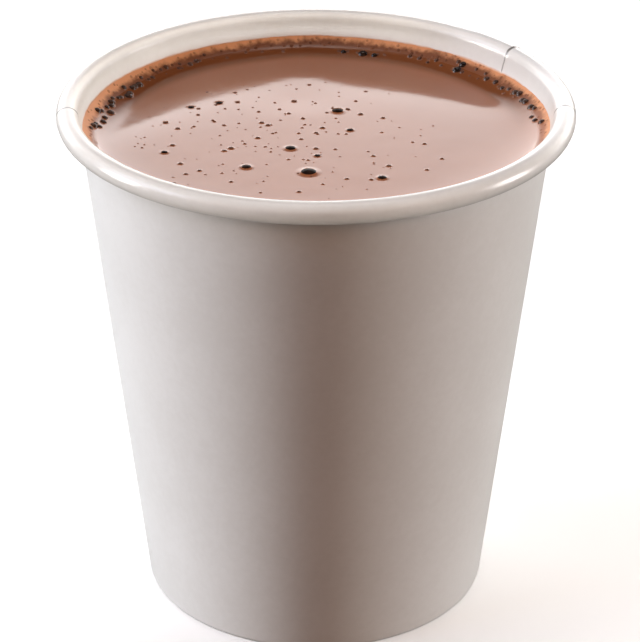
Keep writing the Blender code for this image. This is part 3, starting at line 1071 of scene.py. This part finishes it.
def makeFilmGroup():
    # the drink's milky film: its colour with the darker band of painted shade, the orange edge at the wall
    # and a painted glow on that edge
    group = bpy.data.node_groups.new("milkyFilm", "ShaderNodeTree")
    addInputs(group, filmValues((0.0, 0.0, 0.0)))
    for name, kind in (("Colour", "Color"), ("Glow", "Color"), ("Roughness", "Float"), ("Ripple", "Float")):
        addSocket(group, name, "NodeSocket" + kind, side="OUTPUT")
    given = addNode(group, "NodeGroupInput").outputs
    part = splitAxes(group, given["Position"])
    flat = joinAxes(group, part["X"], part["Y"])
    inset = calc(group, "SUBTRACT", given["Brim"], vectorCalc(group, "LENGTH", flat))

    def along(value, key, first, last):
        low, high = drinkLook[key]
        return remap(group, value, low * mm, high * mm, first, last)

    # the orange edge, ragged, and wider at the left
    ragged = calc(group, "SUBTRACT", noiseAt(group, flat, drinkLook["raggedScale"], 2.0, 0.6), 0.5)
    wander = calc(group, "SUBTRACT", noiseAt(group, flat, drinkLook["wanderScale"], 1.0), 0.5)
    uneven = calc(group, "MULTIPLY_ADD", ragged, drinkLook["raggedReach"] * mm,
                  calc(group, "MULTIPLY", wander, drinkLook["wanderReach"] * mm))
    wider = along(part["X"], "leftRange", drinkLook["leftWider"] * mm, 0.0)
    reach = calc(group, "ADD", calc(group, "ADD", given["Edge Width"], uneven), wider)
    soft = drinkLook["edgeSoft"] * mm
    edge = remap(group, calc(group, "SUBTRACT", inset, reach), -soft, soft, 1.0, 0.0)

    # painted shade: a darker band near the wall in the rear half, for the shade the back wall casts on the
    # drink's rising edge
    fade = calc(group, "MULTIPLY", given["Band Width"], drinkLook["bandFade"])
    band = remap(group, inset, given["Band Width"], fade, 1.0, 0.0)
    paintedShade = calc(group, "MULTIPLY", band, along(part["Y"], "rearRange", 0.0, 1.0))
    tone = mixColour(group, paintedShade, given["Body"], given["Band"])
    colour = mixColour(group, edge, tone, given["Edge"])
    cloud = noiseAt(group, flat, given["Cloud Scale"], 4.0, 0.6)
    mottle = fromNoise(group, cloud, 0.0, drinkLook["cloudShare"])
    mottled = mixColour(group, mottle, colour, drinkLook["cloudColour"])
    # painted glow: the orange edge lights itself at the sides and rear, for light that reaches it through the
    # paper from behind
    paintedGlow = calc(group, "MULTIPLY", edge, along(part["Y"], "litRange", 0.0, 1.0))
    glow = mixColour(group, paintedGlow, (0.0, 0.0, 0.0, 1.0), given["Glow"])
    nearWall = along(inset, "roughRange", 1.0, 0.0)
    rough = remap(group, nearWall, 0.0, 1.0, given["Roughness"], given["Edge Roughness"], smooth=False)
    ripple = noiseAt(group, flat, drinkLook["rippleScale"], 2.0)
    addNode(group, "NodeGroupOutput", {"Colour": mottled, "Glow": glow, "Roughness": rough, "Ripple": ripple})
    return group


def addFilmShader(tree, shader, group):
    spot = addNode(tree, "ShaderNodeTexCoord").outputs["Object"]
    film = placeGroup(tree, group, filmValues(spot))
    bump = addNode(tree, "ShaderNodeBump", {
        "Height": film["Ripple"], "Strength": drinkLook["ripple"],
        "Distance": drinkLook["rippleDepth"] * mm})
    tree.links.new(film["Colour"], shader.inputs["Base Color"])
    tree.links.new(film["Roughness"], shader.inputs["Roughness"])
    # the film's painted glow goes into the emission
    tree.links.new(film["Glow"], shader.inputs["Emission Color"])
    tree.links.new(bump.outputs["Normal"], shader.inputs["Normal"])
    shader.inputs["Emission Strength"].default_value = 1.0
    shader.inputs["IOR"].default_value = drinkLook["ior"]
    return spot


def makeDrinkMaterial(group):
    material = bpy.data.materials.new("milkyChocolate")
    material.use_nodes = True
    addFilmShader(material.node_tree, material.node_tree.nodes["Principled BSDF"], group)
    return material


def makeBubbleMaterial(name, group, plan):
    # the skirt is the drink's film; the dome's dark colour is painted shade, for the unlit hollow one looks
    # into through a bubble
    material = bpy.data.materials.new(name)
    material.use_nodes = True
    tree = material.node_tree
    skirt = tree.nodes["Principled BSDF"]
    spot = addFilmShader(tree, skirt, group)
    deep = addNode(tree, "ShaderNodeAttribute", attribute_name="deep").outputs["Fac"]
    grain = noiseAt(tree, spot, drinkLook["holeGrain"], 2.0)
    spread = drinkLook["holeSpread"]
    tone = calc(tree, "ADD", deep, fromNoise(tree, grain, -spread, spread), clamp=True)
    holeShade = mixColour(tree, tone, drinkLook["faintHoleShade"], drinkLook["deepHole"])
    soft = remap(tree, deep, *drinkLook["softRange"], drinkLook["softLeast"], 1.0)
    dome = addNode(tree, "ShaderNodeBsdfPrincipled", {
        "Base Color": holeShade, "Roughness": plan["roughness"], "Specular IOR Level": plan["gloss"],
        "IOR": drinkLook["ior"]})
    cap = addNode(tree, "ShaderNodeAttribute", attribute_name="cap").outputs["Fac"]
    inside = calc(tree, "MULTIPLY", remap(tree, cap, *drinkLook["capRange"], 0.0, 1.0), soft)
    both = addNode(tree, "ShaderNodeMixShader", {0: inside, 1: skirt.outputs[0], 2: dome.outputs[0]})
    tree.links.new(both.outputs[0], tree.nodes["Material Output"].inputs["Surface"])
    return material


bpy.context.scene.view_settings.view_transform = "Standard"
makeCamera()
makeWorld()
makeFloor()
print("studio:", len(studioPlan["windows"]), "soft windows")
paperGroup = makePaperGroup()
makeCupWall(makePaperMaterial("cupPaper", paperGroup, False))
filmGroup = makeFilmGroup()
drink = makeDrink(makeDrinkMaterial(filmGroup))
makeAllBubbles(drink, makeBubbleMaterial("bubbleFilm", filmGroup, drinkLook["stillDome"]),
               makeBubbleMaterial("frothFilm", filmGroup, drinkLook["glossyDome"]))
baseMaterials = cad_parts["cup_base"].data.materials
baseMaterials.clear()
baseMaterials.append(makePaperMaterial("basePaper", paperGroup, True))
print("base: paper of its own")
